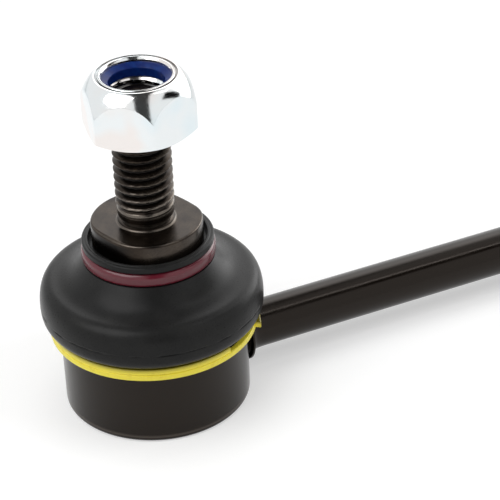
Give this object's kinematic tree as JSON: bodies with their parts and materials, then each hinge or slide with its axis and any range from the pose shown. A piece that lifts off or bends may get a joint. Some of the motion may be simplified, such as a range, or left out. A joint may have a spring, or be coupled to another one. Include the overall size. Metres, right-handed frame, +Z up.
{
  "type": "stabilizer link",
  "caption": "Straight anti-roll bar link: a round rod with a welded ball joint at each end, threaded studs with flats, rubber boots with clamp rings, and nylon-insert lock nuts.",
  "frame": {"origin": "midway between the two stud axes, on the surface that the housings stand on", "axes": "+X along the rod from the front joint to the rear one, +Z up the studs"},
  "size_m": [0.278, 0.038, 0.0614],
  "materials": {
    "black_coat": "satin black coating on steel",
    "bare_steel": "pressed steel, thinly coated",
    "white_acetal": "moulded acetal",
    "black_phosphate": "oiled black phosphate on forged steel",
    "black_rubber": "moulded rubber, matte",
    "yellow_ring": "yellow coated spring steel",
    "wine_ring": "wine-red coated ring, glossy",
    "zinc_plate": "bright zinc plate",
    "blue_nylon": "moulded nylon"
  },
  "bodies": {
    "link": {"connecting_rod": "black_coat", "weld_fillet_front": "black_coat", "housing_front": "black_coat", "closing_cover_front": "bare_steel", "ball_seat_front": "white_acetal", "boot_clamp_ring_front": "yellow_ring", "weld_fillet_rear": "black_coat", "housing_rear": "black_coat", "closing_cover_rear": "bare_steel", "ball_seat_rear": "white_acetal", "boot_clamp_ring_rear": "yellow_ring"},
    "boot_front": {"dust_boot_front": "black_rubber"},
    "neck_front": {"neck_ring_front": "wine_ring"},
    "stud_front": {"ball_stud_front": "black_phosphate"},
    "insert_front": {"nylon_insert_front": "blue_nylon"},
    "nut_front": {"lock_nut_front": "zinc_plate"},
    "boot_rear": {"dust_boot_rear": "black_rubber"},
    "neck_rear": {"neck_ring_rear": "wine_ring"},
    "stud_rear": {"ball_stud_rear": "black_phosphate"},
    "insert_rear": {"nylon_insert_rear": "blue_nylon"},
    "nut_rear": {"lock_nut_rear": "zinc_plate"}
  },
  "joints": [
    {"name": "swing_direction_front", "type": "hinge", "parent": "link", "child": "boot_front", "pos_m": [-0.12, 0, 0.01095], "axis": [0, 0, 1], "continuous": true},
    {"name": "swing_front", "type": "hinge", "parent": "boot_front", "child": "neck_front", "pos_m": [-0.12, 0, 0.01095], "axis": [0, 1, 0], "range_deg": [-25, 25], "deforming": ["dust_boot_front"]},
    {"name": "spin_front", "type": "hinge", "parent": "neck_front", "child": "stud_front", "pos_m": [-0.12, 0, 0.01095], "axis": [0, 0, 1], "continuous": true},
    {"name": "nut_travel_front", "type": "slide", "parent": "stud_front", "child": "insert_front", "axis": [0, 0, 1], "range_m": [-0.01351, 0.02851], "deforming": ["nylon_insert_front"]},
    {"name": "nut_turn_front", "type": "hinge", "parent": "insert_front", "child": "nut_front", "pos_m": [-0.12, 0, 0.05135], "axis": [0, 0, 1], "range_deg": [-3240, 6840]},
    {"name": "swing_direction_rear", "type": "hinge", "parent": "link", "child": "boot_rear", "pos_m": [0.12, 0, 0.01095], "axis": [0, 0, 1], "continuous": true},
    {"name": "swing_rear", "type": "hinge", "parent": "boot_rear", "child": "neck_rear", "pos_m": [0.12, 0, 0.01095], "axis": [0, 1, 0], "range_deg": [-25, 25], "deforming": ["dust_boot_rear"]},
    {"name": "spin_rear", "type": "hinge", "parent": "neck_rear", "child": "stud_rear", "pos_m": [0.12, 0, 0.01095], "axis": [0, 0, 1], "continuous": true},
    {"name": "nut_travel_rear", "type": "slide", "parent": "stud_rear", "child": "insert_rear", "axis": [0, 0, 1], "range_m": [-0.01351, 0.02851], "deforming": ["nylon_insert_rear"]},
    {"name": "nut_turn_rear", "type": "hinge", "parent": "insert_rear", "child": "nut_rear", "pos_m": [0.12, 0, 0.05135], "axis": [0, 0, 1], "range_deg": [-3240, 6840]}
  ],
  "couplings": [
    {"joint": "nut_travel_front", "follows": "nut_turn_front", "m_per_rad": 0.00023873},
    {"joint": "nut_travel_rear", "follows": "nut_turn_rear", "m_per_rad": 0.00023873}
  ]
}
